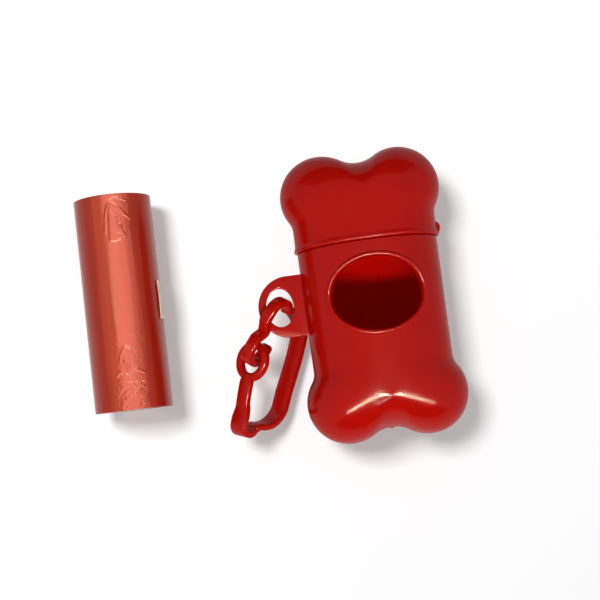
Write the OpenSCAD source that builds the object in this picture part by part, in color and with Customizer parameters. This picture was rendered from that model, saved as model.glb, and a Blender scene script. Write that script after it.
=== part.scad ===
// Bone-shaped dispenser for rolls of dog waste bags, lying on its back, with its
// pull-off cap, its chain of link and spring hook, and one refill roll beside it.
// X runs across the case, Y along it towards the cap, Z up, and the table is at Z = 0.

/* [Case] */
// Distance of each lobe's centre from the case's middle, along the case
lobe_y = 31.7; // [29:0.1:36]
// Distance of each lobe's centre from the centre line
lobe_x = 12.1; // [11:0.1:14]
// Radius of the lobes
lobe_r = 12.5; // [12:0.1:14]
// Radius of the hollow between two lobes
notch_r = 10.1; // [8:0.1:14]
// Radius of the blend from waist to lobe
side_r = 5.7; // [4:0.1:9]
// Half-width of the waist beside the lower lobes
waist_low = 21.3; // [20.5:0.1:22.5]
// Half-width of the waist at the seam
waist_top = 21.5; // [20:0.1:22]
// Half of the case's thickness at the seam
depth_top = 17.2; // [15.8:0.1:19]
// How much thicker each half of the case is at the lower lobes
depth_swell = 0.3; // [0:0.1:0.8]
// Wall of the case
wall = 1.6; // [1:0.1:2.2]
// How much the back is flattened, so that the case lies still
back_flat = 0.45; // [0.3:0.05:0.6]

/* [Cap] */
// Height of the cap's rim above the case's middle
seam_y = 15.3; // [12:0.1:17]
// Gap between the rim and the case's shoulder
seam_gap = 0.2; // [0.1:0.05:0.5]
// How far the cap stands proud of the case at the seam
cap_proud = 0.4; // [0.2:0.1:1.2]
// Wall of the cap
cap_wall = 1.5; // [1:0.1:1.8]
// How far the cap's rim bead stands out
bead_out = 0.45; // [0.2:0.05:0.8]
// Height of the cap's rim bead
bead_h = 1.4; // [0.8:0.1:2.5]
// How far the neck reaches into the cap
neck_h = 6.2; // [4:0.1:8]
// Wall of the neck
neck_wall = 1.2; // [0.8:0.1:1.6]
// Radial clearance between neck and cap
neck_gap = 0.35; // [0.25:0.05:0.6]
// Height of the snap ridge round the neck
snap_out = 0.22; // [0.1:0.02:0.24]

/* [Window] */
// Width of the window
window_w = 27.8; // [20:0.1:30]
// Length of the window
window_l = 21.8; // [14:0.1:23]
// How far the window's middle lies below the case's middle
window_low = 0.9; // [0:0.1:4]
// Width of the rounded lip round the window
lip_w = 1.4; // [1:0.1:2]
// Height of the lip above the case
lip_h = 0.6; // [0.3:0.05:1]

/* [Lug] */
// Radius of the lug's round end
lug_r = 9.4; // [8:0.1:11]
// How far the lug reaches from the centre line
lug_reach = 35.5; // [33:0.1:38]
// How far the lug's middle lies below the case's middle
lug_low = 0.4; // [0:0.1:2]
// Thickness of the lug
lug_t = 2.5; // [1.8:0.1:3]
// Width of the lug's rim at its round end
lug_rim = 2.4; // [2:0.1:3]
// Width of the oval eye
eye_w = 8.5; // [7.5:0.1:10]
// Length of the oval eye
eye_l = 11.8; // [10:0.1:13]

/* [Link] */
// Width of the link's strip
link_w = 3.6; // [2.6:0.1:4]
// Thickness of the link's strip
link_t = 2.2; // [1.4:0.1:2.6]
// Clear width of the hook that holds the lug
link_wide = 7.2; // [5.4:0.1:9]
// Clear width of the hook that holds the clip's eye
link_narrow = 6; // [5.4:0.1:6.6]
// Length of the hook that holds the lug
link_upper = 12.2; // [11.8:0.1:13.4]
// Length of the hook that holds the clip's eye
link_lower = 10.9; // [10.6:0.1:12]

/* [Hook] */
// Width of the hook's strip
hook_w = 6; // [4:0.1:7]
// Width of the hook's stem
stem_w = 4.6; // [3.6:0.1:6]
// Thickness of the hook's strip
hook_t = 2; // [1.4:0.1:2.4]
// Outer diameter of the hook's eye
ring_od = 12.5; // [11.5:0.1:13.5]
// Inner diameter of the hook's eye
ring_hole = 7.4; // [7:0.1:8.2]
// Thickness of the hook's eye
ring_t = 2.6; // [2:0.1:3]

/* [Roll] */
// Outer diameter of the roll of bags
roll_d = 24.2; // [18:0.1:30]
// Length of the roll of bags
roll_l = 65.5; // [50:0.5:68]
// Outer diameter of the paper core
core_d = 12; // [9:0.1:14]
// Wall of the paper core
core_wall = 0.9; // [0.5:0.1:1.5]

/* [Lift tab] */
// How far the cap's lift tab stands out
tab_out = 1.3; // [0.8:0.1:2.5]
// Height of the lift tab
tab_h = 4.6; // [3:0.1:7]
// Thickness of the lift tab
tab_t = 0.8; // [0.5:0.1:1.4]

/* [Hidden] */

red = [0.66, 0.05, 0.04];
film_red = [0.76, 0.22, 0.16];
card = [0.80, 0.72, 0.60];
cream = [0.93, 0.90, 0.82];

// The case's centre line lies so high that its flattened back is on the table.
depth_low = depth_top + depth_swell;
axis_z = depth_low - back_flat;

// The link's upper hook holds the lug's rim at this point of its round end.
rim_angle = 208;
lug_x = -lug_reach + lug_r;
rim_at = [lug_x + (lug_r - lug_rim / 2) * cos(rim_angle),
          (lug_r - lug_rim / 2) * sin(rim_angle) - lug_low, axis_z];

// The link lies across the lug's rim, tilted about its own length. Its upper hook ends
// at an angle on its arc, and its lower hook at a distance from the waist.
link_turn = 52;
link_tilt = 62;
link_at = rim_at + [-0.65, -3.4, 0];
upper_tip = -50;
lower_tip = 3.6;
waist_dip = 2.3;

// The hook's eye lies in the link's lower hook, and its bow lies on the table.
hook_turn = 19.5;
hook_lean = 48.2;
ring_mid = (ring_od + ring_hole) / 4;
wire_at = link_at + [-3.65, -3.05, -0.35];
eye_at = wire_at - ring_mid * [sin(hook_turn), cos(hook_turn), 0];
flex_gap = 0.08;

// The roll lies beside the case.
roll_x = -76.9;
roll_y = 7.5;
roll_turn = 0.8;
film_gap = 0.02;
film_t = 0.15;
label_t = 0.1;
label_l = 12;
label_start = -20;
label_angle = 40;
end_start = label_start + label_angle + 2;
end_angle = 158;
wound_d = roll_d - 2 * (film_gap + film_t);

// Outline of one half of the case, from the seam to the middle of the hollow.
spine_end = lobe_y - 2;
flank_steps = 5;
blend_steps = 4;
lobe_steps = 13;
notch_steps = 4;
turn_steps = 20;

function arc(c, r, a0, a1, n, first = 0) =
    [for (i = [first:n]) let (a = a0 + (a1 - a0) * i / n) c + r * [cos(a), sin(a)]];

function notch_y() = lobe_y + sqrt(pow(lobe_r + notch_r, 2) - pow(lobe_x, 2));
function blend_c(w) =
    [w + side_r, lobe_y - sqrt(pow(lobe_r + side_r, 2) - pow(w + side_r - lobe_x, 2))];

// Everything beyond the waist, grown outwards by g. Inwards, g is negative.
function end_curve(w, g) =
    let (c = blend_c(w), lobe = [lobe_x, lobe_y],
         a = atan2(c[1] - lobe_y, c[0] - lobe_x), b = atan2(notch_y() - lobe_y, -lobe_x))
    concat(arc(c, side_r - g, 180, 180 + a, blend_steps),
           arc(lobe, lobe_r + g, a, b, lobe_steps, 1),
           arc([0, notch_y()], notch_r - g, b - 180, -90, notch_steps, 1));

// A station is [half-width, place along the case, place on the spine, half-thickness].
function flank(w0, w1, h0, h1, d0, d1) =
    [for (i = [0:flank_steps - 1]) let (f = i / flank_steps, h = h0 + (h1 - h0) * f)
        [w0 + (w1 - w0) * f, h, h, d0 + (d1 - d0) * f]];

function end_stations(w, g, d) =
    let (p = end_curve(w, g), h = blend_c(w)[1], n = len(p) - 1)
    [for (i = [0:n]) [p[i][0], p[i][1], h + (spine_end - h) * min(i / (n - 1), 1), d]];

function flip(list, y) = [for (s = list) [s[0], y * s[1], y * s[2], s[3]]];

// One point of a skin: round from the back's spine to the front's at each station.
function skin_point(s, side, j) =
    let (a = -90 + 180 * j / turn_steps)
    [side * s[0] * cos(a), s[2] + (s[1] - s[2]) * cos(a), max(s[3] * sin(a), -axis_z)];

// A skin's points: right side, then left side, from the mouth to the hollow.
function skin_points(st) =
    [for (side = [1, -1], s = st, j = [0:turn_steps]) skin_point(s, side, j)];

// Index of a point. The two sides share the spine, whose last point serves the last
// two stations, and they share the middle of the hollow.
function at(i, side, j, n) =
    let (spine = j == 0 || j == turn_steps, own = side < 0 && !spine && i < n - 1)
    (own ? n * (turn_steps + 1) : 0) + (spine ? min(i, n - 2) : i) * (turn_steps + 1) + j;

function turn(f, back) = back ? [f[2], f[1], f[0]] : f;

function skin_faces(n, base, back) =
    [for (side = [1, -1], i = [0:n - 2], j = [0:turn_steps - 1], half = [0, 1])
        let (a = base + at(i, side, j, n), b = base + at(i, side, j + 1, n),
             c = base + at(i + 1, side, j + 1, n), d = base + at(i + 1, side, j, n),
             f = half == 0 ? [a, b, c] : [a, c, d])
        if (f[0] != f[1] && f[1] != f[2] && f[0] != f[2]) turn(f, (side < 0) != back)];

function mouth_faces(n_out, n_in, base, back) =
    [for (side = [1, -1], j = [0:turn_steps - 1], half = [0, 1])
        let (a = at(0, side, j, n_out), b = at(0, side, j + 1, n_out),
             c = base + at(0, side, j + 1, n_in), d = base + at(0, side, j, n_in))
        turn(half == 0 ? [a, c, b] : [a, d, c], (side < 0) != back)];

// A shell between an outer and an inner skin, open at the mouth.
module shell(outer, inner, back) {
    base = 2 * len(outer) * (turn_steps + 1);
    polyhedron(concat(skin_points(outer), skin_points(inner)),
               concat(skin_faces(len(outer), 0, back), skin_faces(len(inner), base, !back),
                      mouth_faces(len(outer), len(inner), base, back)));
}

// ---- Case ----
shoulder_y = seam_y - seam_gap;
cap_w = waist_top + cap_proud;
cap_d = depth_top + cap_proud / 2;
neck_w = cap_w - cap_wall - neck_gap;
neck_d = cap_d - cap_wall - neck_gap;
neck_top = seam_y + neck_h;
snap_y = seam_y + neck_h / 2;
ease = 0.5;

// The case's half runs away from the seam, so its stations count downwards in Y.
function case_outer() = concat(
    [[neck_w - ease, -neck_top, -neck_top, neck_d - ease],
     [neck_w, -neck_top + 2 * ease, -neck_top + 2 * ease, neck_d],
     [neck_w, -snap_y - ease, -snap_y - ease, neck_d],
     [neck_w + snap_out, -snap_y, -snap_y, neck_d + snap_out],
     [neck_w, -snap_y + ease, -snap_y + ease, neck_d],
     [neck_w, -shoulder_y, -shoulder_y, neck_d]],
    flank(waist_top, waist_low, -shoulder_y, blend_c(waist_low)[1], depth_top, depth_low),
    end_stations(waist_low, 0, depth_low));

function case_inner() = concat(
    [[neck_w - neck_wall, -neck_top, -neck_top, neck_d - neck_wall],
     [neck_w - neck_wall, -shoulder_y + wall, -shoulder_y + wall, neck_d - neck_wall]],
    flank(waist_top - wall, waist_low - wall, -shoulder_y + 2 * wall,
          blend_c(waist_low)[1], depth_top - wall, depth_low - wall),
    end_stations(waist_low, -wall, depth_low - wall));

// Half-width, half-thickness and front height of the waist at a place on it.
function waist_share(y) = (shoulder_y - y) / (shoulder_y + blend_c(waist_low)[1]);
function waist_w(y) = waist_top + (waist_low - waist_top) * waist_share(y);
function waist_d(y) = depth_top + (depth_low - depth_top) * waist_share(y);
function front_z(x, y) = waist_d(y) * sqrt(1 - pow(x / waist_w(y), 2));
function front_normal(x, y) =
    let (v = [x / pow(waist_w(y), 2), 0, front_z(x, y) / pow(waist_d(y), 2)]) v / norm(v);

function oval(w, l, n) =
    [for (i = [0:n - 1]) [w / 2 * cos(360 * i / n), l / 2 * sin(360 * i / n)]];

// The lip's section: distance out from the window's edge, and height above the skin.
lip_section = [[0, -wall * 0.8], [0, lip_h * 0.5], [lip_w * 0.25, lip_h], [lip_w * 0.7, lip_h],
               [lip_w, lip_h * 0.3], [lip_w, -wall * 0.4], [lip_w * 0.8, -wall * 0.8]];
lip_steps = 48;

function lip_point(k, s) =
    let (a = 360 * k / lip_steps, x = window_w / 2 * cos(a),
         y = window_l / 2 * sin(a) - window_low,
         e = [cos(a) / window_w, sin(a) / window_l, 0], n = front_normal(x, y),
         flat = e - (e * n) * n)
    [x, y, front_z(x, y)] + s[0] * flat / norm(flat) + s[1] * n;

module window_lip() {
    m = len(lip_section);
    polyhedron([for (k = [0:lip_steps - 1], s = lip_section) lip_point(k, s)],
               [for (k = [0:lip_steps - 1], i = [0:m - 1], half = [0, 1])
                   let (k2 = (k + 1) % lip_steps, i2 = (i + 1) % m)
                   half == 0 ? [k * m + i, k2 * m + i2, k * m + i2]
                             : [k * m + i, k2 * m + i, k2 * m + i2]]);
}

// The lug's plate ends inside the case's side wall.
eye_x = -lug_reach + lug_rim + eye_w / 2;
lug_root = waist_top - wall / 2;

module lug() {
    translate([0, -lug_low, -lug_t / 2])
        linear_extrude(lug_t)
            difference() {
                union() {
                    translate([lug_x, 0]) circle(lug_r, $fn = 96);
                    translate([lug_x, -lug_r]) square([-lug_root - lug_x, 2 * lug_r]);
                }
                translate([eye_x, 0]) polygon(oval(eye_w, eye_l, 60));
                translate([-lug_root, -lug_r - 1]) square(2 * lug_r + 2);
            }
}

module case_body() {
    color(red) translate([0, 0, axis_z]) {
        difference() {
            shell(flip(case_outer(), -1), flip(case_inner(), -1), true);
            translate([0, -window_low])
                linear_extrude(depth_low + lip_h + 1)
                    polygon(oval(window_w + lip_w, window_l + lip_w, 60));
        }
        window_lip();
        lug();
    }
}

// ---- Cap ----
cap_blend = blend_c(cap_w)[1];

function cap_outer() = concat(
    [[cap_w + bead_out * 0.8, seam_y, seam_y, cap_d + bead_out * 0.8],
     [cap_w + bead_out, seam_y + bead_h * 0.6, seam_y + bead_h * 0.6, cap_d + bead_out]],
    [[cap_w, seam_y + bead_h, seam_y + bead_h, cap_d]],
    end_stations(cap_w, 0, cap_d));

function cap_inner() = concat(
    [[cap_w - cap_wall, seam_y, seam_y, cap_d - cap_wall]],
    end_stations(cap_w, -cap_wall, cap_d - cap_wall));

module cap() {
    color(red) translate([0, 0, axis_z]) {
        shell(cap_outer(), cap_inner(), false);
        lift_tab();
    }
}

// The thin lift tab stands on the cap's right flank, with its root in the wall.
module lift_tab() {
    translate([0, 0, -tab_t / 2])
        linear_extrude(tab_t)
            polygon([[cap_w - cap_wall / 2, seam_y + 0.3], [cap_w + tab_out * 0.35, seam_y + 0.3],
                     [cap_w + tab_out, seam_y + tab_h * 0.6], [cap_w + tab_out * 0.8, seam_y + tab_h * 0.8],
                     [cap_w - cap_wall / 2, seam_y + tab_h]]);
}

// ---- Strip pieces: a path drawn in a plane, thickened both ways and made into a strip ----
function dir(a, b) = (b - a) / norm(b - a);
function normal_at(p, i) =
    let (d = (i > 0 ? dir(p[i - 1], p[i]) : [0, 0]) + (i < len(p) - 1 ? dir(p[i], p[i + 1]) : [0, 0]),
         u = d / norm(d)) [-u[1], u[0]];
function beside(p, s) = [for (i = [0:len(p) - 1]) p[i] + s * normal_at(p, i)];
function backwards(p) = [for (i = [len(p) - 1:-1:0]) p[i]];

// A strip's ends are round, and the ends that are wanted are listed.
module strip(path, thick, wide, ends = [0, 1]) {
    translate([0, 0, -wide / 2]) {
        linear_extrude(wide) polygon(concat(beside(path, thick / 2), backwards(beside(path, -thick / 2))));
        for (e = ends)
            translate(path[e * (len(path) - 1)]) cylinder(d = thick, h = wide, $fn = 48);
    }
}

// ---- Link ----
// Two open hooks share a waist. Each hook's path is a slot shape with round ends.

// From the end of a hook's far arc back to the waist.
function link_r(clear) = (clear + link_t) / 2;
function link_hook(length, clear, tip) =
    let (r = link_r(clear), far = length - link_t / 2 - r)
    concat(arc([far, 0], r, tip, 90, 12), [[r * 0.55, r]]);

// The hook that holds the lug ends on its arc, and the one that holds the clip's eye
// ends in a short straight arm.
function link_path() = concat(
    link_hook(link_upper, link_wide, upper_tip),
    [[0, link_r(link_narrow) - waist_dip]],
    [for (p = backwards(concat([[lower_tip, -link_r(link_narrow)]], link_hook(link_lower, link_narrow, -90))))
        [-p[0], p[1]]]);

module connector_link() {
    color(red)
        translate(link_at) rotate([0, 0, link_turn]) rotate([link_tilt, 0, 0])
            strip(link_path(), link_t, link_w);
}

// ---- Hook ----
// In the hook's own frame Y runs up its stem, X from the stem to the bow, and its
// eye's centre is the origin.
module hook_place() {
    translate(eye_at) rotate([0, 0, -hook_turn]) rotate([0, hook_lean, 0]) children();
}

// Radius and centre of each bend: the bulb at the stem's foot, the bow's heel and its
// tip. The bow is joined on at the reverse bend between bulb and heel.
bulb_r = 2.65;
bulb_c = [2.6, -19.4];
flex_at = [5.7, -20];
bow_r = 8.8;
bow_c = [7.9, -10.2];
tip_r = 7;
tip_c = [11.3, 11.2];
knee_top = -13;
knee_low = -17;
stem_points = [[-0.7, -4.6], [-0.6, -9], [-0.3, -12.5], [0.1, -14.5], [0.1, -16.5], [-0.05, -18]];
bow_points = [[16.75, -7], [17.4, -2], [18, 3], [18.3, 7.5], [18.3, 10.5]];
heel_at = [6.5, -19.3];
bulb_end = 325;

function stem_path() = concat(stem_points, arc(bulb_c, bulb_r, 180, bulb_end, 10), [flex_at]);
function bow_path() = concat([flex_at, heel_at], arc(bow_c, bow_r, -92, -14, 8), bow_points,
                             arc(tip_c, tip_r, 0, 92, 10, 1));

// Half of the stem's outline, from the eye down: the stem widens at the knee.
stem_neck = 1.2;
stem_edge = [[stem_w - stem_neck, 0], [stem_w - stem_neck, -ring_mid], [stem_w, -ring_mid - stem_neck],
             [stem_w, knee_top], [hook_w, knee_low], [hook_w, 2 * bulb_c[1]]];

module stem_outline() {
    rotate([0, 90, 0])
        linear_extrude(4 * hook_w, center = true)
            polygon(concat([for (p = stem_edge) [p[0] / 2, p[1]]],
                           [for (p = backwards(stem_edge)) [-p[0] / 2, p[1]]]));
}

module hook_frame() {
    color(red) hook_place() {
        rotate([0, 90, 0])
            rotate_extrude($fn = 96)
                translate([ring_hole / 2, -ring_t / 2]) square([(ring_od - ring_hole) / 2, ring_t]);
        difference() {
            intersection() {
                strip(stem_path(), hook_t, hook_w, []);
                stem_outline();
            }
            translate([flex_at[0], flex_at[1], -hook_w])
                cylinder(d = hook_t + 2 * flex_gap, h = 2 * hook_w, $fn = 48);
        }
    }
}

module hook_gate() {
    color(red) hook_place() strip(bow_path(), hook_t, hook_w);
}

// ---- Roll of bags ----
module roll_place() {
    translate([roll_x, roll_y, roll_d / 2]) rotate([0, 0, -roll_turn]) rotate([-90, 0, 0]) children();
}

module tube(outer, inner, length) {
    translate([0, 0, -length / 2])
        rotate_extrude($fn = 120)
            translate([inner / 2, 0]) square([(outer - inner) / 2, length]);
}

module sheet(r, thick, length, start, angle) {
    translate([0, 0, -length / 2])
        rotate([0, 0, start])
            rotate_extrude(angle = angle, $fn = 120)
                translate([r, 0]) square([thick, length]);
}

module roll_core() {
    color(card) roll_place() tube(core_d, core_d - 2 * core_wall, roll_l);
}

module bag_roll() {
    color(film_red) roll_place() tube(wound_d, core_d + 2 * film_gap, roll_l);
}

module loose_bag_end() {
    color(film_red) roll_place()
        sheet(wound_d / 2 + film_gap, film_t, roll_l, end_start, end_angle);
}

module roll_label() {
    color(cream) roll_place()
        sheet(wound_d / 2 + film_gap, label_t, label_l, label_start, label_angle);
}

case_body();
cap();
connector_link();
hook_frame();
hook_gate();
roll_core();
bag_roll();
loose_bag_end();
roll_label();
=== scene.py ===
import math

import bmesh
import bpy
import numpy as np
from mathutils import Matrix, Vector, noise


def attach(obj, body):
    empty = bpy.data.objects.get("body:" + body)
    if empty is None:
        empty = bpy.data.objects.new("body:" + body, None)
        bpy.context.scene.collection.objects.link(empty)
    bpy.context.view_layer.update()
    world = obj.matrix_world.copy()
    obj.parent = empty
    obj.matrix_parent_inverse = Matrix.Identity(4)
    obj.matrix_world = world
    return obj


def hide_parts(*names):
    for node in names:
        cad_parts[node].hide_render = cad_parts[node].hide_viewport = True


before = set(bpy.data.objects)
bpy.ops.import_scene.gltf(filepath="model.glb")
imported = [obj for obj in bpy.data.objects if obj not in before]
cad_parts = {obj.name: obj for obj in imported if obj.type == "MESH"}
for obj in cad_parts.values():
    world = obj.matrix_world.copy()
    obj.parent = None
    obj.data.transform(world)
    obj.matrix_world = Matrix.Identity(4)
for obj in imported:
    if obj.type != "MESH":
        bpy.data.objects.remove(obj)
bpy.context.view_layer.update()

# ---- Camera ----
# A long lens looks down on the table from arm's length, over the case's lower left side.
# It is tipped a little and turned a little, so that case and roll lean over to the left.
mm = 0.001
camera_at = Vector((-29.7 * mm, -30.5 * mm, 400 * mm))
camera_turn = (4.84, -0.434, -7.612)
lens = 75.37

camera_data = bpy.data.cameras.new("camera")
camera_data.lens = lens
camera_data.sensor_width = 36
camera_data.clip_start = 0.01
camera = bpy.data.objects.new("camera", camera_data)
camera.location = camera_at
camera.rotation_euler = [math.radians(a) for a in camera_turn]
bpy.context.scene.collection.objects.link(camera)
bpy.context.scene.camera = camera
bpy.context.scene.view_settings.view_transform = "Standard"

# ---- Table, room and lamps ----
# The table is a smooth white sheet in a pale room. A soft lamp at the upper left throws the
# shadows on it, and the pieces are lit by lamps that are hung once they are in place.
table_size = 4.0
table_white = 0.60
table_lift = 0.30
room_grey = 0.30
soft_lamp_at = (-0.42, 0.34, 1.15)
soft_lamp_width = 0.34
soft_lamp_watts = 17


def background_rays(nodes, links):
    """1 for rays of the camera and for those that gloss and clear plastic send to the background."""
    path = nodes.new("ShaderNodeLightPath")
    glossy = nodes.new("ShaderNodeMath")
    glossy.operation = "MAXIMUM"
    links.new(path.outputs["Is Camera Ray"], glossy.inputs[0])
    links.new(path.outputs["Is Glossy Ray"], glossy.inputs[1])
    clear = nodes.new("ShaderNodeMath")
    clear.operation = "MAXIMUM"
    links.new(glossy.outputs[0], clear.inputs[0])
    links.new(path.outputs["Is Transmission Ray"], clear.inputs[1])
    return clear.outputs[0]


def table_sheet():
    material = bpy.data.materials.new("table_sheet")
    material.use_nodes = True
    nodes, links = material.node_tree.nodes, material.node_tree.links
    nodes.clear()
    matt = nodes.new("ShaderNodeBsdfDiffuse")
    matt.inputs["Color"].default_value = (table_white, table_white, table_white, 1)
    glow = nodes.new("ShaderNodeEmission")
    glow.inputs["Color"].default_value = (table_lift, table_lift, table_lift, 1)
    links.new(background_rays(nodes, links), glow.inputs["Strength"])
    both = nodes.new("ShaderNodeAddShader")
    links.new(matt.outputs[0], both.inputs[0])
    links.new(glow.outputs[0], both.inputs[1])
    output = nodes.new("ShaderNodeOutputMaterial")
    links.new(both.outputs[0], output.inputs["Surface"])
    return material


def grid_object(name, points, faces, material):
    """A mesh object with smooth faces, made of points in metres and of faces of point indices."""
    mesh = bpy.data.meshes.new(name)
    mesh.from_pydata([tuple(p) for p in points], [], faces)
    mesh.update()
    mesh.materials.append(material)
    mesh.shade_smooth()
    made = bpy.data.objects.new(name, mesh)
    bpy.context.scene.collection.objects.link(made)
    return made


half = table_size / 2
table = grid_object("table", [(-half, -half, 0), (half, -half, 0), (half, half, 0), (-half, half, 0)],
                    [(0, 1, 2, 3)], table_sheet())

world = bpy.data.worlds.new("room")
bpy.context.scene.world = world
world.use_nodes = True
room_nodes, room_links = world.node_tree.nodes, world.node_tree.links
room_nodes.clear()
dim = room_nodes.new("ShaderNodeBackground")
dim.inputs["Color"].default_value = (room_grey, room_grey, room_grey, 1)
white = room_nodes.new("ShaderNodeBackground")
white.inputs["Color"].default_value = (1, 1, 1, 1)
room = room_nodes.new("ShaderNodeMixShader")
room_links.new(background_rays(room_nodes, room_links), room.inputs["Fac"])
room_links.new(dim.outputs[0], room.inputs[1])
room_links.new(white.outputs[0], room.inputs[2])
room_output = room_nodes.new("ShaderNodeOutputWorld")
room_links.new(room.outputs[0], room_output.inputs["Surface"])


def area_lamp(name, place, aim, along, size, watts, lit):
    """A flat lamp with its length and width in metres, which lies along a direction and is
    turned to a point. It lights only the listed pieces."""
    lamp = bpy.data.lights.new(name, "AREA")
    lamp.shape = "RECTANGLE"
    lamp.size, lamp.size_y = size
    lamp.energy = watts
    made = bpy.data.objects.new(name, lamp)
    ahead = Vector(along).normalized()
    down = Vector(aim) - Vector(place)
    down = (down - down.dot(ahead) * ahead).normalized()
    made.matrix_world = (Matrix.Translation(place)
                         @ Matrix((ahead, ahead.cross(down), -down)).transposed().to_4x4())
    bpy.context.scene.collection.objects.link(made)
    field = bpy.data.collections.new(name + "_field")
    for piece in lit:
        field.objects.link(piece)
    made.light_linking.receiver_collection = field
    return made


area_lamp("soft_lamp", soft_lamp_at, (0, 0, 0), (0, 1, 0), (soft_lamp_width, soft_lamp_width),
          soft_lamp_watts, [table])

# ---- Case body ----
# The lower half of the bone, blown or moulded in one piece of glossy red polypropylene, with
# a neck for the cap to snap on, an oval window for the bags and a lug at its side.
lobe_y = 31.7 * mm
lobe_x = 12.1 * mm
lobe_r = 12.5 * mm
notch_r = 10.1 * mm
side_r = 5.7 * mm
waist_low = 21.3 * mm
waist_top = 21.5 * mm
depth_low = 17.5 * mm
depth_top = 17.2 * mm
wall = 1.6 * mm
back_flat = 0.45 * mm
axis_z = depth_low - back_flat
seam_y = 15.3 * mm
seam_gap = 0.2 * mm
shoulder_y = seam_y - seam_gap
cap_proud = 0.4 * mm
cap_wall = 1.5 * mm
neck_h = 6.2 * mm
neck_wall = 1.2 * mm
neck_gap = 0.35 * mm
snap_out = 0.22 * mm
snap_half = 0.45 * mm
snap_foot = 0.5 * mm
cap_w = waist_top + cap_proud
cap_d = depth_top + cap_proud / 2
neck_w = cap_w - cap_wall - neck_gap
neck_d = cap_d - cap_wall - neck_gap
neck_top = seam_y + neck_h
snap_y = seam_y + neck_h / 2
spine_end = lobe_y - 2 * mm
steps_round = 192


def red_plastic(name, colour, shade, roughness, mottle, polish):
    """Moulded red plastic: faint flow marks, and a skin like fine orange peel that takes as
    much polish as the mould gave it."""
    material = bpy.data.materials.new(name)
    material.use_nodes = True
    nodes, links = material.node_tree.nodes, material.node_tree.links
    shader = nodes["Principled BSDF"]
    shader.inputs["IOR"].default_value = 1.14
    shader.inputs["Specular IOR Level"].default_value = 0.03
    shader.inputs["Coat Weight"].default_value = polish
    shader.inputs["Coat Roughness"].default_value = 0.115
    shader.inputs["Coat IOR"].default_value = 1.4
    place = nodes.new("ShaderNodeTexCoord")
    stretch = nodes.new("ShaderNodeMapping")
    stretch.inputs["Scale"].default_value = (1, 0.45, 1)
    links.new(place.outputs["Object"], stretch.inputs["Vector"])

    flow = nodes.new("ShaderNodeTexNoise")
    flow.inputs["Scale"].default_value = 55
    flow.inputs["Detail"].default_value = 5
    flow.inputs["Distortion"].default_value = 0.6
    links.new(stretch.outputs["Vector"], flow.inputs["Vector"])
    tint = nodes.new("ShaderNodeMix")
    tint.data_type = "RGBA"
    tint.inputs[6].default_value = (*shade, 1)
    tint.inputs[7].default_value = (*colour, 1)
    links.new(flow.outputs["Fac"], tint.inputs["Factor"])
    links.new(tint.outputs[2], shader.inputs["Base Color"])

    rub = nodes.new("ShaderNodeTexNoise")
    rub.inputs["Scale"].default_value = 210
    rub.inputs["Detail"].default_value = 4
    links.new(place.outputs["Object"], rub.inputs["Vector"])
    matt = nodes.new("ShaderNodeMapRange")
    matt.inputs["To Min"].default_value = roughness * 0.75
    matt.inputs["To Max"].default_value = roughness * 1.3
    links.new(rub.outputs["Fac"], matt.inputs["Value"])
    links.new(matt.outputs["Result"], shader.inputs["Roughness"])

    peel = nodes.new("ShaderNodeTexNoise")
    peel.inputs["Scale"].default_value = 1300
    peel.inputs["Detail"].default_value = 2
    links.new(place.outputs["Object"], peel.inputs["Vector"])
    skin = nodes.new("ShaderNodeBump")
    skin.inputs["Strength"].default_value = mottle
    skin.inputs["Distance"].default_value = 0.00006
    links.new(peel.outputs["Fac"], skin.inputs["Height"])
    links.new(skin.outputs["Normal"], shader.inputs["Normal"])
    links.new(skin.outputs["Normal"], shader.inputs["Coat Normal"])
    return material


case_plastic = red_plastic("case_plastic", (0.49, 0.004, 0.001), (0.41, 0.003, 0.001), 0.34, 0.35, 0.3)

# The inside has no polish, and carries a faint painted glow: an emission that stands in for the light that
# comes through the thin wall.
inside_glow_plastic = red_plastic("inside_glow_plastic", (0.50, 0.002, 0.001), (0.44, 0.002, 0.001), 0.6, 0.3, 0)
inside_glow_shader = inside_glow_plastic.node_tree.nodes["Principled BSDF"]
inside_glow_shader.inputs["Specular IOR Level"].default_value = 0
inside_glow_shader.inputs["Emission Color"].default_value = (1, 0.01, 0.005, 1)
inside_glow_shader.inputs["Emission Strength"].default_value = 0.035


def arc(centre, radius, start, end, steps):
    """Points of an arc in a plane, with its angles in degrees and both ends kept."""
    angles = np.radians(np.linspace(start, end, steps + 1))
    return np.array(centre) + radius * np.column_stack([np.cos(angles), np.sin(angles)])


def blend_centre(waist):
    """Where the arc between the waist and a lobe has its centre."""
    across = waist + side_r - lobe_x
    return np.array([waist + side_r, lobe_y - math.sqrt((lobe_r + side_r) ** 2 - across ** 2)])


def end_outline(waist, grown):
    """One half of a bone's end, from the waist round the lobe to the middle of the hollow."""
    blend = blend_centre(waist)
    lobe = np.array([lobe_x, lobe_y])
    hollow = np.array([0, lobe_y + math.sqrt((lobe_r + notch_r) ** 2 - lobe_x ** 2)])
    first = math.degrees(math.atan2(*(blend - lobe)[::-1]))
    last = math.degrees(math.atan2(*(hollow - lobe)[::-1]))
    return np.vstack([arc(blend, side_r - grown, 180, 180 + first, 12),
                      arc(lobe, lobe_r + grown, first, last, 39)[1:],
                      arc(hollow, notch_r - grown, last - 180, -90, 12)[1:]])


def end_rings(waist, grown, depth):
    """Rings of a bone's end: half-width, place along the case, place on the spine, half-depth.
    The spine's places follow each other evenly at first, and slow down towards its end."""
    outline = end_outline(waist, grown)
    share = np.linspace(0, 1, len(outline))
    late = 0.75
    speed = 2 / (1 + late)
    eased = np.where(share < late, speed * share, 1 - speed * (1 - share) ** 2 / (2 * (1 - late)))
    root = blend_centre(waist)[1]
    spine = root + (spine_end - root) * eased
    return [(x, y, s, depth) for (x, y), s in zip(outline, spine)]


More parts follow.
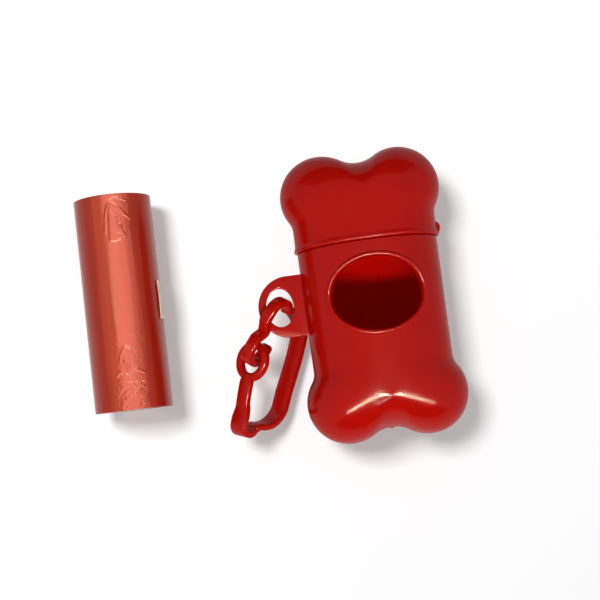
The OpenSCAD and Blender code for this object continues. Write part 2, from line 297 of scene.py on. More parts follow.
def straight_rings(widths, places, depths, steps):
    """Rings along a stretch that changes evenly from its first size to its last."""
    return [(w, y, y, d) for w, y, d in zip(np.linspace(*widths, steps), np.linspace(*places, steps),
                                            np.linspace(*depths, steps))]


def rim_rings(width, place, depth, out_r, along_r, start, end, steps):
    """Rings of a rounded edge, whose section is part of an ellipse."""
    return [(width + out_r * math.cos(a), place + along_r * math.sin(a), place + along_r * math.sin(a),
             depth + out_r * math.cos(a)) for a in np.radians(np.linspace(start, end, steps))]


def loop_faces(around, along, endless=False):
    """Quads between rings of points, each ring closed. Endless rings go back to the first."""
    rows = along if endless else along - 1
    return [(i * around + j, i * around + (j + 1) % around,
             (i + 1) % along * around + (j + 1) % around, (i + 1) % along * around + j)
            for i in range(rows) for j in range(around)]


def skin_mesh(name, outside, inside, side, material):
    """A closed shell: its rings run from the outer skin's end over the mouth to the inner's end.
    The crest between two lobes is softened, and the back is cut off flat."""
    rings = outside + inside
    turn = np.radians(np.arange(steps_round) * 360 / steps_round - 90)
    cos, sin = np.cos(turn), np.sin(turn)
    soft = 0.02
    sideways = np.sqrt(cos ** 2 + soft) / math.sqrt(1 + soft)
    points = []
    for half_width, place, spine, half_depth in rings:
        along = spine + (place - spine) * sideways
        height = np.maximum(half_depth * sin, -axis_z) + axis_z
        points += list(np.column_stack([half_width * cos, side * along, height]))
    faces = loop_faces(steps_round, len(rings))
    made = grid_object(name, points, faces, material)
    made.data.materials.append(inside_glow_plastic)
    made.data.polygons.foreach_set("material_index", [int(i // steps_round >= len(outside))
                                                      for i in range(len(faces))])
    work = bmesh.new()
    work.from_mesh(made.data)
    bmesh.ops.remove_doubles(work, verts=work.verts, dist=0.002 * mm)
    bmesh.ops.dissolve_degenerate(work, edges=work.edges, dist=0.001 * mm)
    bmesh.ops.recalc_face_normals(work, faces=work.faces)
    work.to_mesh(made.data)
    work.free()
    made.data.shade_smooth()
    return made


shoulder_r = 0.3 * mm
lip_round = neck_wall / 2
low_blend = blend_centre(waist_low)[1]
case_outside = (
    end_rings(waist_low, 0, depth_low)[::-1]
    + straight_rings((waist_low, waist_top), (low_blend, -shoulder_y + shoulder_r),
                     (depth_low, depth_top), 36)[1:]
    + rim_rings(waist_top - shoulder_r, -shoulder_y + shoulder_r, depth_top - shoulder_r,
                shoulder_r, shoulder_r, 0, -90, 5)[1:]
    + straight_rings((neck_w, neck_w), (-shoulder_y, -snap_y + snap_foot), (neck_d, neck_d), 4)
    + rim_rings(neck_w, -snap_y, neck_d, snap_out, snap_half, 80, -80, 7)
    + straight_rings((neck_w, neck_w), (-snap_y - snap_foot, -neck_top + lip_round), (neck_d, neck_d), 3)
    + rim_rings(neck_w - lip_round, -neck_top + lip_round, neck_d - lip_round,
                lip_round, lip_round, 0, -180, 9)[1:])
case_inside = (
    straight_rings((neck_w - neck_wall, neck_w - neck_wall), (-neck_top + 2 * lip_round, -shoulder_y + wall),
                   (neck_d - neck_wall, neck_d - neck_wall), 4)
    + straight_rings((waist_top - wall, waist_low - wall), (-shoulder_y + 2 * wall, low_blend),
                     (depth_top - wall, depth_low - wall), 24)
    + end_rings(waist_low, -wall, depth_low - wall)[1:])
case_shell = skin_mesh("case_shell", case_outside, case_inside, -1, case_plastic)

window_w = 27.8 * mm
window_l = 21.8 * mm
window_low = 0.9 * mm
lip_w = 1.4 * mm
oval_steps = 144


def waist_at(y):
    """Half-width and half-depth of the waist at a place along the case."""
    share = (shoulder_y - y) / (shoulder_y + low_blend)
    return waist_top + (waist_low - waist_top) * share, depth_top + (depth_low - depth_top) * share


def front_at(x, y):
    """A point on the case's front, and the outward normal there."""
    half_width, half_depth = waist_at(y)
    z = half_depth * math.sqrt(1 - (x / half_width) ** 2)
    normal = Vector((x / half_width ** 2, 0, z / half_depth ** 2)).normalized()
    return Vector((x, y, z + axis_z)), normal


def ring_solid(name, points, around, material, endless=False):
    """A solid whose skin runs from ring to ring of points, so many around each. A flat face
    closes its first and its last ring, unless it is endless."""
    faces = loop_faces(around, len(points) // around, endless)
    if not endless:
        faces += [tuple(range(around)), tuple(range(len(points) - around, len(points)))]
    made = grid_object(name, points, faces, material)
    work = bmesh.new()
    work.from_mesh(made.data)
    bmesh.ops.recalc_face_normals(work, faces=work.faces)
    work.to_mesh(made.data)
    work.free()
    made.data.shade_smooth()
    return made


def oval_prism(name, width, length, y, low, high):
    turn = np.linspace(0, 2 * math.pi, oval_steps, endpoint=False)
    points = [(width / 2 * math.cos(a), y + length / 2 * math.sin(a), z) for z in (low, high) for a in turn]
    return ring_solid(name, points, oval_steps, case_plastic)


def cut(made, tool):
    """Cuts the tool's shape out of a piece, and throws the tool away."""
    modifier = made.modifiers.new("cut", "BOOLEAN")
    modifier.operation = "DIFFERENCE"
    modifier.object = tool
    bpy.context.view_layer.update()
    result = bpy.data.meshes.new_from_object(made.evaluated_get(bpy.context.evaluated_depsgraph_get()))
    made.modifiers.clear()
    made.data = result
    bpy.data.objects.remove(tool)
    made.data.shade_smooth()


cut(case_shell, oval_prism("window_tool", window_w + lip_w, window_l + lip_w, -window_low,
                           axis_z + 4 * mm, axis_z + depth_low + 2 * mm))
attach(case_shell, "case")
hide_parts("case_body")

# ---- Window lip ----
# A rounded bead round the oval window, moulded on the case, so that the bags don't tear when
# they are pulled out. Its inner side covers the cut through the wall.
lip_h = 0.6 * mm
lip_steps = 160
lip_section = ([(lip_w * 0.8, -wall * 0.8), (0.12 * mm, -wall * 0.85), (0, -wall * 0.7)]
               + [(lip_w / 2 - lip_w / 2 * math.cos(a), lip_h * math.sin(a) ** 0.8)
                  for a in np.radians(np.linspace(4, 172, 13))]
               + [(lip_w, -wall * 0.3)])
lip_points = []
for a in np.linspace(0, 2 * math.pi, lip_steps, endpoint=False):
    edge, normal = front_at(window_w / 2 * math.cos(a), window_l / 2 * math.sin(a) - window_low)
    out = Vector((math.cos(a) / window_w, math.sin(a) / window_l, 0))
    out = (out - out.dot(normal) * normal).normalized()
    lip_points += [edge + across * out + up * normal for across, up in lip_section]
window_lip = ring_solid("window_lip", lip_points, len(lip_section), case_plastic, endless=True)
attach(window_lip, "case")
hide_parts("case_body")

# ---- Mould marks ----
# The mould leaves a fine seam up the inside of the case's back, and the stub of the gate,
# where the plastic ran in, in the hollow between the lower lobes.
seam_x = 3.6 * mm
seam_rise = 0.55 * mm
seam_along = ((2.0, 0), (3.5, 0.8), (6.0, 1), (12.0, 1), (13.4, 0.6))
seam_section = ((-0.40, 0.90), (-0.12, 1.35), (0.12, 1.35), (0.40, 0.90))
seam_points = [(seam_x + x * mm, y * mm, z * mm + seam_rise * rise)
               for y, rise in seam_along for x, z in seam_section]
mould_seam = ring_solid("mould_seam", seam_points, len(seam_section), inside_glow_plastic)

stub_y = -40.7 * mm
stub_half_w = 0.9 * mm
stub_half_l = 0.35 * mm
stub_half_h = 0.6 * mm
stub_turn = np.linspace(0, 2 * math.pi, 24, endpoint=False)
stub_rows = np.radians(np.linspace(-85, 85, 9))
stub_points = [(stub_half_w * math.cos(a) * math.cos(b), stub_y + stub_half_l * math.sin(b),
                axis_z + stub_half_h * math.sin(a) * math.cos(b)) for b in stub_rows for a in stub_turn]
gate_stub = ring_solid("gate_stub", stub_points, len(stub_turn), case_plastic)
for piece in (mould_seam, gate_stub):
    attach(piece, "case")
    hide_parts("case_body")

# ---- Lug ----
# A flat ear with an oval eye, moulded on the case's left side at half its depth, that the
# connector link hooks into. Its edges are softened.
lug_r = 9.4 * mm
lug_reach = 35.5 * mm
lug_low = 0.4 * mm
lug_t = 2.5 * mm
lug_rim = 2.4 * mm
eye_w = 8.5 * mm
eye_l = 11.8 * mm
lug_edge = 0.3 * mm
lug_x = -lug_reach + lug_r
eye_x = -lug_reach + lug_rim + eye_w / 2
lug_root = waist_top - wall / 2


def plate(name, outlines, thickness, edge, material):
    """A plate cut to an outline, with holes where more outlines follow, and with rounded edges."""
    curve = bpy.data.curves.new(name, "CURVE")
    curve.dimensions = "2D"
    curve.fill_mode = "BOTH"
    curve.extrude = thickness / 2 - edge
    curve.bevel_depth = edge
    curve.offset = -edge
    curve.bevel_resolution = 3
    for outline in outlines:
        spline = curve.splines.new("POLY")
        spline.points.add(len(outline) - 1)
        for point, (x, y) in zip(spline.points, outline):
            point.co = (x, y, 0, 1)
        spline.use_cyclic_u = True
    drawn = bpy.data.objects.new(name + "_curve", curve)
    bpy.context.scene.collection.objects.link(drawn)
    bpy.context.view_layer.update()
    mesh = bpy.data.meshes.new_from_object(drawn.evaluated_get(bpy.context.evaluated_depsgraph_get()))
    bpy.data.objects.remove(drawn)
    mesh.name = name
    mesh.materials.clear()
    mesh.materials.append(material)
    made = bpy.data.objects.new(name, mesh)
    bpy.context.scene.collection.objects.link(made)
    work = bmesh.new()
    work.from_mesh(mesh)
    bmesh.ops.remove_doubles(work, verts=work.verts, dist=0.002 * mm)
    bmesh.ops.recalc_face_normals(work, faces=work.faces)
    work.to_mesh(mesh)
    work.free()
    mesh.shade_smooth()
    mesh.set_sharp_from_angle(angle=math.radians(40))
    return made


lug_outline = np.vstack([arc((lug_x, 0), lug_r, 90, 270, 64), [(-lug_root, -lug_r), (-lug_root, lug_r)]])
turn = np.linspace(0, 2 * math.pi, 72, endpoint=False)
eye_outline = np.column_stack([eye_x + eye_w / 2 * np.cos(turn), eye_l / 2 * np.sin(turn)])
lug = plate("lug", [lug_outline, eye_outline], lug_t, lug_edge, case_plastic)
lug.data.transform(Matrix.Translation((0, -lug_low, axis_z)))
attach(lug, "case")
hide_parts("case_body")

# ---- Cap ----
# The upper half of the bone, moulded in the same plastic. It is pushed over the neck, and
# has a thick bead round its rim and a thin tab to push it off with.
bead_out = 0.45 * mm
bead_h = 1.4 * mm
tab_out = 1.3 * mm
tab_h = 4.6 * mm
tab_t = 0.8 * mm
tab_edge = 0.2 * mm
rim_r = 0.25 * mm
cap_plastic = red_plastic("cap_plastic", (0.51, 0.004, 0.001), (0.43, 0.003, 0.001), 0.36, 0.5, 0.26)
cap_blend = blend_centre(cap_w)[1]
bead_section = [(bead_out * out, seam_y + bead_h * up) for out, up in (
    (0.00, 2.2), (0.03, 1.8), (0.12, 1.45), (0.35, 1.1), (0.68, 0.85), (0.92, 0.62),
    (1.00, 0.4), (0.92, 0.2), (0.66, 0.06), (0.35, 0))]
cap_outside = (
    end_rings(cap_w, 0, cap_d)[::-1]
    + straight_rings((cap_w, cap_w), (cap_blend, seam_y + bead_h * 2.4), (cap_d, cap_d), 12)[1:]
    + [(cap_w + out, y, y, cap_d + out) for out, y in bead_section]
    + rim_rings(cap_w - cap_wall + rim_r, seam_y + rim_r, cap_d - cap_wall + rim_r,
                rim_r, rim_r, -90, -180, 4))
cap_inside = (
    straight_rings((cap_w - cap_wall, cap_w - cap_wall), (seam_y + 2 * rim_r, cap_blend),
                     (cap_d - cap_wall, cap_d - cap_wall), 8)
    + end_rings(cap_w, -cap_wall, cap_d - cap_wall)[1:])
cap_shell = skin_mesh("cap_shell", cap_outside, cap_inside, 1, cap_plastic)
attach(cap_shell, "cap")
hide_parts("cap")

tab_foot = seam_y + 0.3 * mm
tab_outline = [(cap_w - cap_wall / 2, tab_foot), (cap_w + tab_out * 0.35, tab_foot),
               (cap_w + tab_out * 0.85, seam_y + tab_h * 0.42), (cap_w + tab_out, seam_y + tab_h * 0.62),
               (cap_w + tab_out * 0.8, seam_y + tab_h * 0.8), (cap_w + tab_out * 0.3, seam_y + tab_h * 0.97),
               (cap_w - cap_wall / 2, seam_y + tab_h)]
lift_tab = plate("lift_tab", [tab_outline], tab_t, tab_edge, cap_plastic)
lift_tab.data.transform(Matrix.Translation((0, 0, axis_z)))
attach(lift_tab, "cap")
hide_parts("cap")

# ---- Connector link ----
# Two open hooks moulded in one strip of softer red plastic, back to back on a waist. One
# holds the lug's rim, the other the spring hook's ring.
link_w = 3.6 * mm
link_t = 2.2 * mm
link_wide = 7.2 * mm
link_narrow = 6 * mm
link_upper = 12.2 * mm
link_lower = 10.9 * mm
upper_tip = -50
lower_tip = 3.6 * mm
waist_dip = 2.3 * mm
link_turn = 52
link_tilt = 62
link_edge = 0.5 * mm
rim_angle = math.radians(208)
rim_at = Vector((lug_x + (lug_r - lug_rim / 2) * math.cos(rim_angle),
                 (lug_r - lug_rim / 2) * math.sin(rim_angle) - lug_low, axis_z))
link_at = rim_at + Vector((-0.65, -3.4, 0)) * mm
hook_plastic = red_plastic("hook_plastic", (0.52, 0.005, 0.001), (0.43, 0.003, 0.001), 0.38, 0.6, 0.3)


def smooth_path(points, steps=5):
    """A path through all of its points, rounded by a Catmull-Rom spline."""
    p = np.array([points[0], *points, points[-1]], float)
    made = []
    for a, b, c, d in zip(p, p[1:], p[2:], p[3:]):
        for t in np.linspace(0, 1, steps, endpoint=False):
            made.append(0.5 * (2 * b + (c - a) * t + (2 * a - 5 * b + 4 * c - d) * t ** 2
                               + (3 * b - a - 3 * c + d) * t ** 3))
    return np.array(made + [p[-1]])


def round_end(tip, ahead, out, thick, width):
    """Stations past a strip's tip, each thinner and narrower than the last."""
    return [(tip + out * ahead * thick / 2 * math.sin(a), ahead, max(thick * math.cos(a), 0.02 * mm),
             width - 0.9 * thick * (1 - math.cos(a))) for a in np.radians((18, 36, 54, 72, 84, 90))]


def strip(name, path, thick, widths, edge, place, material, socket=0):
    """A strip bent along a path in its own plane, with rounded edges and round ends. A socket
    is the radius of a hollow that takes the place of the round last end."""
    step = np.diff(path, axis=0)
    step /= np.linalg.norm(step, axis=1)[:, None]
    along = np.vstack([step[:1], step[1:] + step[:-1], step[-1:]])
    along /= np.linalg.norm(along, axis=1)[:, None]
    stations = round_end(path[0], along[0], -1, thick, widths[0])[::-1]
    stations += [(p, d, thick, w) for p, d, w in zip(path, along, widths)]
    if not socket:
        stations += round_end(path[-1], along[-1], 1, thick, widths[-1])
    points = []
    for i, (p, d, t, w) in enumerate(stations):
        r = min(edge, t / 2)
        for cx, cz, a0 in ((1, 1, 0), (-1, 1, 90), (-1, -1, 180), (1, -1, 270)):
            for a in np.radians(a0 + np.array((0, 30, 60, 90))):
                across = cx * (t / 2 - r) + r * math.cos(a)
                height = cz * (w / 2 - edge) + edge * math.sin(a)
                back = math.sqrt(max(socket ** 2 - across ** 2, 0)) if i == len(stations) - 1 else 0
                points.append(place @ Vector((p[0] - across * d[1] - back * d[0],
                                              p[1] + across * d[0] - back * d[1], height)))
    return ring_solid(name, points, len(points) // len(stations), material)


def link_hook(length, clear, tip):
    """The path of one open hook, from its tip round to where the link's waist begins."""
    bend = (clear + link_t) / 2
    return np.vstack([arc((length - link_t / 2 - bend, 0), bend, tip, 90, 24), [(bend * 0.7, bend)]])


narrow_r = (link_narrow + link_t) / 2
upper_half = link_hook(link_upper, link_wide, upper_tip)
lower_half = np.vstack([[(lower_tip, -narrow_r)], link_hook(link_lower, link_narrow, -90)])[::-1] * (-1, 1)
link_waist = np.array([(1.3, 1.15), (0, 0.25), (-1.2, 0.96)]) * mm + (0, narrow_r - waist_dip)
link_bend = smooth_path(np.vstack([upper_half[-1:], link_waist, lower_half[:1]]))
link_path = np.vstack([upper_half[:-1], link_bend, lower_half[1:]])
link_place = (Matrix.Translation(link_at) @ Matrix.Rotation(math.radians(link_turn), 4, "Z")
              @ Matrix.Rotation(math.radians(link_tilt), 4, "X"))
connector_link = strip("connector_link", link_path, link_t, [link_w] * len(link_path), link_edge,
                       link_place, hook_plastic)
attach(connector_link, "link")
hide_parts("connector_link")

# ---- Spring hook: ring, stem and bend ----
# One strip of the same plastic: a ring across its head, a knuckled stem, and a bend at its
# foot that lets the bow spring open.
hook_w = 6 * mm
hook_t = 2 * mm
stem_w = 4.6 * mm
ring_od = 12.5 * mm
ring_hole = 7.4 * mm
ring_t = 2.6 * mm
ring_mid = (ring_od + ring_hole) / 4
hook_turn = math.radians(19.5)
hook_lean = math.radians(48.2)
strip_edge = 0.45 * mm
socket_gap = 0.16 * mm
wire_at = link_at + Vector((-3.65, -3.05, -0.35)) * mm
eye_at = wire_at - ring_mid * Vector((math.sin(hook_turn), math.cos(hook_turn), 0))
hook_place = (Matrix.Translation(eye_at) @ Matrix.Rotation(-hook_turn, 4, "Z")
              @ Matrix.Rotation(hook_lean, 4, "Y"))
stem_path = np.array([(-0.7, -4.6), (-0.6, -9), (-0.3, -12.5), (0.1, -14.5),
                      (0.1, -16.5), (-0.05, -18)]) * mm
bulb = arc(np.array((2.6, -19.4)) * mm, 2.65 * mm, 180, 325, 24)
flex_at = np.array((5.7, -20)) * mm

ring_steps = 96
ring_wide = (ring_od - ring_hole) / 2
ring_section = [(ring_mid + ring_wide / 2 * abs(math.cos(a)) ** 0.7 * np.sign(math.cos(a)),
                 ring_t / 2 * abs(math.sin(a)) ** 0.7 * np.sign(math.sin(a)))
                for a in np.linspace(0, 2 * math.pi, 28, endpoint=False)]
ring_points = [hook_place @ Vector((x, r * math.cos(a), r * math.sin(a)))
               for a in np.linspace(0, 2 * math.pi, ring_steps, endpoint=False) for r, x in ring_section]
hook_ring = ring_solid("hook_ring", ring_points, len(ring_section), hook_plastic, endless=True)
stem = np.vstack([smooth_path(stem_path), bulb, [flex_at]])
stem_widths = np.interp(stem[:, 1], np.array((-17, -13, -6.2, -5)) * mm,
                        (hook_w, stem_w, stem_w, stem_w - 1.2 * mm))
hook_stem = strip("hook_stem", stem, hook_t, stem_widths, strip_edge, hook_place, hook_plastic,
                  hook_t / 2 + socket_gap)
for piece in (hook_ring, hook_stem):
    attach(piece, "hook")
    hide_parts("hook_frame")

# ---- Spring hook: bow ----
# The long springy bow goes on from the bend and comes round to the ring, where a thumb
# pushes it in to hook the dispenser on a lead.
bow_path = np.vstack([
    [flex_at, np.array((6.5, -19.3)) * mm],
    arc(np.array((7.9, -10.2)) * mm, 8.8 * mm, -92, -14, 24),
    smooth_path(np.array([(16.75, -7), (17.4, -2), (18.0, 3), (18.3, 7.5), (18.3, 10.5)]) * mm),
    arc(np.array((11.3, 11.2)) * mm, 7 * mm, 0, 92, 26)[1:]])
hook_bow = strip("hook_bow", bow_path, hook_t, [hook_w] * len(bow_path), strip_edge, hook_place,
                 hook_plastic)
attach(hook_bow, "gate")
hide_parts("hook_gate")

# ---- Roll of bags ----
# Thin polythene bags wound tight on a paper core. The film is satin red, with soft creases
# where folded bag corners lie under the outer turns.
roll_d = 24.2 * mm
roll_l = 65.5 * mm
core_d = 12 * mm
film_gap = 0.02 * mm
film_t = 0.15 * mm
roll_x = -76.9 * mm
roll_y = 7.5 * mm
roll_turn = 0.8
wound_r = roll_d / 2 - film_gap - film_t
roll_place = (Matrix.Translation((roll_x, roll_y, roll_d / 2))
              @ Matrix.Rotation(math.radians(-roll_turn), 4, "Z")
              @ Matrix.Rotation(math.radians(-90), 4, "X"))


def bag_film():
    """Satin red polythene with fine streaks along the roll and a faint haze."""
    material = bpy.data.materials.new("bag_film")
    material.use_nodes = True
    nodes, links = material.node_tree.nodes, material.node_tree.links
    shader = nodes["Principled BSDF"]
    shader.inputs["IOR"].default_value = 1.5
    shader.inputs["Specular Tint"].default_value = (1, 0.5, 0.34, 1)
    place = nodes.new("ShaderNodeTexCoord")
    streak = nodes.new("ShaderNodeMapping")
    streak.inputs["Scale"].default_value = (1, 0.12, 1)
    links.new(place.outputs["Object"], streak.inputs["Vector"])
    haze = nodes.new("ShaderNodeTexNoise")
    haze.inputs["Scale"].default_value = 340
    haze.inputs["Detail"].default_value = 6
    links.new(streak.outputs["Vector"], haze.inputs["Vector"])
    tint = nodes.new("ShaderNodeMix")
    tint.data_type = "RGBA"
    tint.inputs[6].default_value = (0.31, 0.008, 0.001, 1)
    tint.inputs[7].default_value = (0.40, 0.013, 0.003, 1)
    links.new(haze.outputs["Fac"], tint.inputs["Factor"])
    links.new(tint.outputs[2], shader.inputs["Base Color"])
    satin = nodes.new("ShaderNodeMapRange")
    satin.inputs["To Min"].default_value = 0.18
    satin.inputs["To Max"].default_value = 0.30
    links.new(haze.outputs["Fac"], satin.inputs["Value"])
    links.new(satin.outputs["Result"], shader.inputs["Roughness"])
    grain = nodes.new("ShaderNodeBump")
    grain.inputs["Strength"].default_value = 0.35
    grain.inputs["Distance"].default_value = 0.00004
    links.new(haze.outputs["Fac"], grain.inputs["Height"])
    links.new(grain.outputs["Normal"], shader.inputs["Normal"])
    return material


film = bag_film()
# The skin's grid is fine where the creases are, and coarse elsewhere.
film_turns = np.concatenate([np.linspace(-270, -112, 110, endpoint=False),
                             np.linspace(-112, -54, 260, endpoint=False),
                             np.linspace(-54, 90, 100, endpoint=False)])
film_alongs = np.concatenate([np.linspace(-32.75, -8.5, 200, endpoint=False),
                              np.linspace(-8.5, 16, 24, endpoint=False),
                              np.linspace(16, 32.75, 140)]) * mm
film_round = len(film_turns)
film_long = len(film_alongs)

# Each crease: its height and half-width in millimetres, and its line through places given in
# millimetres along the roll and in degrees round it.
creases = [
    (0.30, 0.30, [(29.0, -89.4), (24.2, -90.4), (18.7, -91.8)]),
    (0.26, 0.38, [(21.0, -98.0), (26.4, -95.2), (30.3, -88.8), (31.6, -79.2), (30.5, -63.6)]),
    (0.30, 0.40, [(29.9, -84.6), (27.8, -72.6), (24.6, -59.0)]),
    (0.22, 0.36, [(28.5, -79.5), (26.2, -70.4), (25.5, -61.7)]),
    (0.26, 0.30, [(23.2, -74.9), (21.4, -73.0), (19.5, -69.5)]),
    (0.20, 0.26, [(18.4, -92.0), (17.9, -84), (18.7, -75.8)]),
    (0.12, 0.22, [(27.0, -88.0), (25.6, -81.0), (22.0, -79.0)]),
    (-0.14, 0.24, [(22.8, -88.0), (21.0, -82.0), (20.6, -76.0)]),
    (0.09, 0.30, [(-10.0, -97.9), (-10.3, -82.0), (-10.1, -60.4)]),
    (0.20, 0.40, [(-18.2, -96.4), (-15.4, -93.0), (-13.6, -86.7), (-14.2, -80.0)]),
    (0.16, 0.50, [(-17.7, -90.3), (-19.8, -85.8), (-22.1, -84.3)]),
    (0.18, 0.42, [(-22.5, -103.2), (-21.2, -96.4), (-21.7, -88.0), (-20.8, -74.5), (-22.0, -61.7)]),
    (0.12, 0.30, [(-24.1, -101.0), (-24.3, -80.7), (-24.5, -56.4)]),
    (0.17, 0.60, [(-26.0, -66.0), (-27.8, -80.0), (-30.2, -97.0)]),
    (0.13, 0.60, [(-28.6, -61.0), (-30.2, -75.0)]),
    (-0.12, 0.60, [(-26.6, -91.0), (-28.4, -102.0)]),
    (0.15, 0.45, [(-31.0, -98.5), (-32.7, -99.5)]),
    (0.16, 0.50, [(-30.9, -85.0), (-32.7, -83.0)])]
# Where the film is crumpled: middle and half-length along the roll, middle and half-angle
# round it, and how much. Fine streaks run along the whole roll.
crumples = [((24.5, 8.5), (-78, 22), 0.03), ((-18, 9), (-80, 20), 0.07), ((-30, 5), (-84, 24), 0.11)]
streak_height = 0.05
crease_limit = 0.3
crease_share = 0.5


def crease_height(z, degrees):
    """Height in metres of the film's creases at a grid of places on the roll."""
    around = np.radians(degrees) * wound_r / mm
    along = z / mm
    height = np.zeros_like(along)
    for tall, wide, line in creases:
        nearest = np.full_like(along, 99.0)
        places = [(y, math.radians(a) * wound_r / mm) for y, a in line]
        for (y0, x0), (y1, x1) in zip(places, places[1:]):
            dy, dx = y1 - y0, x1 - x0
            share = np.clip(((along - y0) * dy + (around - x0) * dx) / (dy ** 2 + dx ** 2), 0, 1)
            nearest = np.minimum(nearest, np.hypot(along - y0 - share * dy, around - x0 - share * dx))
        height += tall * (1 - 0.6 * (nearest / wide) ** 2) * np.exp(-(nearest / wide) ** 2)
    for (y, long), (a, turn), deep in crumples:
        near = np.exp(-((along - y) / long) ** 4 - ((degrees - a) / turn) ** 4)
        for i in np.flatnonzero(near > 0.02):
            spot = Vector((along.flat[i] * 0.5, around.flat[i] * 0.8, y))
            ripple = 1 - 3 * abs(noise.noise(spot)) + 0.8 * noise.noise(spot * 2.9)
            height.flat[i] += deep * near.flat[i] * ripple
    for i in range(height.size):
        spot = Vector((around.flat[i] * 0.9, along.flat[i] * 0.05, 7))
        height.flat[i] += streak_height * noise.noise(spot)
    return np.clip(height, -crease_limit, crease_limit) * mm * crease_share


skin_sunk = 0.05 * mm
wound_skin = wound_r - skin_sunk
place_z, place_turn = np.meshgrid(film_alongs, film_turns, indexing="ij")
raised = wound_skin + crease_height(place_z, place_turn)
film_points = [roll_place @ Vector((r * math.cos(a), r * math.sin(a), z)) for r, a, z in
               zip(raised.flat, np.radians(place_turn).flat, place_z.flat)]
# The roll's ends are the bags' edges, ring in ring, each a little further out or in.
end_turns = 40
ends = []
for z in (-roll_l / 2, roll_l / 2):
    for i in range(1, end_turns + 1):
        share = i / end_turns
        r = wound_skin + (core_d / 2 + film_gap - wound_skin) * share
        step = 0.12 * mm * noise.noise(Vector((r * 4200, z * 50, 0.7)))
        ends.append([roll_place @ Vector((r * math.cos(a), r * math.sin(a), z - math.copysign(abs(step), z)))
                     for a in np.radians(film_turns)])
rows = [film_points[k * film_round:(k + 1) * film_round] for k in range(film_long)]
rows = ends[:end_turns][::-1] + rows + ends[end_turns:]
wound_film = ring_solid("wound_film", [p for row in rows for p in row], film_round, film, endless=True)
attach(wound_film, "roll")
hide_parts("bag_roll")

# ---- Loose bag end ----
# The last bag's free end. It leaves the roll at its left side, clings to it underneath and
# ends at the sticker on the right.
end_start = math.radians(22)
end_angle = math.radians(158)
end_points = []
end_steps = 160
end_long = 120
for k in range(end_long + 1):
    z = roll_l * (k / end_long - 0.5)
    for under, order in ((0, 1), (1, -1)):
        for share in np.linspace(0, 1, end_steps)[::order]:
            a = end_start + end_angle * share
            free = min(1, (1 - share) / 0.12)
            thick = 0.03 * mm + 0.09 * mm * free
            lift = 0.02 * mm * noise.noise(Vector((z * 160, a * 9, 3.1)))
            r = wound_r + film_gap - 0.1 * mm * (1 - free) + under * thick + lift
            end_points.append(roll_place @ Vector((r * math.cos(a), r * math.sin(a), z)))
loose_end = ring_solid("loose_end", end_points, 2 * end_steps, film)
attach(loose_end, "roll")
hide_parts("loose_bag_end")

# ---- Paper core and sticker ----
# The core is a tube of grey-brown card. The sticker is a strip of cream paper that holds the
# bags' free edge down.


def paper(name, colour, shade, scale):
    """Paper or card with short fibres and a soft tooth."""
    material = bpy.data.materials.new(name)
    material.use_nodes = True
    nodes, links = material.node_tree.nodes, material.node_tree.links
    shader = nodes["Principled BSDF"]
    shader.inputs["Roughness"].default_value = 0.85
    place = nodes.new("ShaderNodeTexCoord")
    fibre = nodes.new("ShaderNodeTexNoise")
    fibre.inputs["Scale"].default_value = scale
    fibre.inputs["Detail"].default_value = 8
    links.new(place.outputs["Object"], fibre.inputs["Vector"])
    tint = nodes.new("ShaderNodeMix")
    tint.data_type = "RGBA"
    tint.inputs[6].default_value = (*shade, 1)
    tint.inputs[7].default_value = (*colour, 1)
    links.new(fibre.outputs["Fac"], tint.inputs["Factor"])
    links.new(tint.outputs[2], shader.inputs["Base Color"])
    tooth = nodes.new("ShaderNodeBump")
    tooth.inputs["Strength"].default_value = 0.5
    tooth.inputs["Distance"].default_value = 0.00005
    links.new(fibre.outputs["Fac"], tooth.inputs["Height"])
    links.new(tooth.outputs["Normal"], shader.inputs["Normal"])
    return material


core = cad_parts["roll_core"]
core.data.materials.clear()
core.data.materials.append(paper("core_card", (0.62, 0.50, 0.36), (0.50, 0.38, 0.26), 900))
label_paper = paper("label_paper", (0.86, 0.82, 0.66), (0.78, 0.72, 0.55), 1400)
label_t = 0.1 * mm
label_l = 12 * mm
label_half = 20
label_stuck = 2
label_gap = 0.01 * mm
label_peel = 0.3 * mm
label_rows = 25
label_points = []
for z in np.linspace(-label_l / 2, label_l / 2, label_rows):
    for out, side in ((0, 1), (label_t, -1)):
        for a in np.linspace(side * label_half, -side * label_half, label_rows):
            lifted = max(0, (-a - label_stuck) / (label_half - label_stuck)) ** 1.6
            peeled = lifted * (0.75 + 0.25 * math.cos(z * 420)) * label_peel
            r = roll_d / 2 + label_gap + peeled + out
            turn = math.radians(a)
            label_points.append(roll_place @ Vector((r * math.cos(turn), r * math.sin(turn), z)))
sticker = ring_solid("sticker", label_points, 2 * label_rows, label_paper)
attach(sticker, "roll")
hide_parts("roll_label")

# ---- Lamps over the pieces ----
# One lamp beyond the lower end shines into the window. Three strip lamps, hung as a shallow
# arch, give the red pieces their long highlights.
hung_at = 0.72
pieces = [piece for piece in bpy.context.scene.objects if piece.type == "MESH" and piece != table]
film_pieces = [wound_film, loose_end]
other_pieces = [piece for piece in pieces if piece not in film_pieces]
area_lamp("window_lamp", (-0.06, -0.38, hung_at), (0, 0, 0.02), (1, 0, 0), (0.24, 0.06), 4.4, pieces)

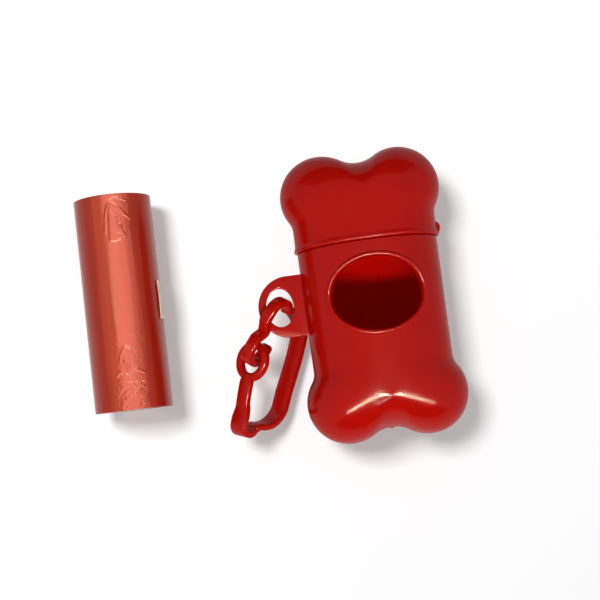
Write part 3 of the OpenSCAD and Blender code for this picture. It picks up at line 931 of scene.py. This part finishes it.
strips = [("left_strip", (-0.10, -0.15), (-0.80, -0.66), 0.032, 16),
          ("middle_strip", (-0.12, -0.155), (0.23, -0.205), 0.045, 16),
          ("right_strip", (0.19, -0.19), (0.95, -0.79), 0.032, 24)]
for name, end_in, end_out, width, watts in strips:
    near, far = Vector((*end_in, hung_at)), Vector((*end_out, hung_at))
    strip_lamp = area_lamp(name, (near + far) / 2, (0, -0.03, 0.03), far - near,
                           ((far - near).length, width), watts, other_pieces)
    strip_lamp.data.color = (1, 0.88, 0.64)
    strip_lamp.visible_diffuse = False

# ---- Lamps over the film ----
# Soft boxes that overlap over the roll give the film its sheen, brightest along the middle.
# A glint lamp beyond each of the roll's ends catches the creases' slopes.
box_y = 0.1
box_long = 1.4
boxes = [("left_box", -1.3, -0.34, 8, (1, 0.85, 0.55)), ("near_box", -0.34, 0.08, 17, (1, 1, 1)),
         ("middle_box", -0.34, 0.4, 25, (1, 1, 1)), ("far_box", -0.34, 0.85, 17, (1, 1, 1))]
for name, left, right, watts, colour in boxes:
    middle = (left + right) / 2
    sheen = area_lamp(name, (middle, box_y, hung_at), (middle, box_y, 0), (0, 1, 0),
                      (box_long, right - left), watts, film_pieces)
    sheen.data.color = colour
    sheen.visible_diffuse = False

glint_x = 0.05
for name, y in (("upper_glint", 0.66), ("lower_glint", -0.46)):
    glint = area_lamp(name, (glint_x, y, hung_at), (glint_x, y / 2, 0), (1, 0, 0), (1.1, 0.22), 34,
                      film_pieces)
    glint.visible_diffuse = False

# ---- Dark screens ----
# Two dark cloths hang over the table, one beyond each end of the case. Only the gloss shows
# them, as the deep red below the highlights.
screen_cloth = bpy.data.materials.new("screen_cloth")
screen_cloth.use_nodes = True
screen_cloth.node_tree.nodes["Principled BSDF"].inputs["Base Color"].default_value = (0.02, 0.02, 0.02, 1)
foot_z = 0.06
foot_wider = 1.2
front_top = [(-0.82, -0.69, 0.74), (-0.13, -0.18, 0.74), (0.24, -0.235, 0.74), (0.97, -0.81, 0.74)]
back_top = [(x, 0.6, 0.62) for x in (-0.7, -0.2, 0.2, 0.7)]
for name, top, foot_y in (("front_screen", front_top, -1.0), ("back_screen", back_top, 0.62)):
    foot = [(x * foot_wider, foot_y, foot_z) for x, _, _ in top]
    screen = grid_object(name, top + foot, [(0, 1, 5, 4), (1, 2, 6, 5), (2, 3, 7, 6)], screen_cloth)
    screen.visible_camera = False
    screen.visible_diffuse = False
    screen.visible_shadow = False
